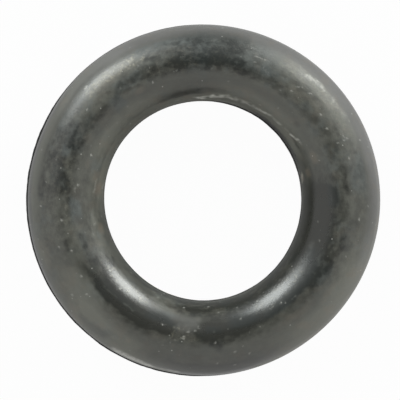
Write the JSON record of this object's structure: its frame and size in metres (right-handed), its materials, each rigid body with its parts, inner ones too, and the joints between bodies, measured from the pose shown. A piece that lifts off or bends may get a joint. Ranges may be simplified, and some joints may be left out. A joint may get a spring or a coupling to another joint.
{
  "type": "o-ring",
  "caption": "Round-section rubber sealing ring, moulded in one piece, with a trimmed parting line inside and outside; seals a shaft, a bore or a face.",
  "frame": {"origin": "centre of the ring, on its mid-plane", "axes": "+Z along the ring's axis, upwards as it lies flat; +X and +Y lie in the mid-plane"},
  "size_m": [0.0162, 0.0162, 0.0036],
  "materials": {
    "rubber": "satin black rubber with a grey surface bloom, fine dust and faint mould marks"
  },
  "bodies": {
    "root": {"o_ring": "rubber"}
  },
  "joints": []
}
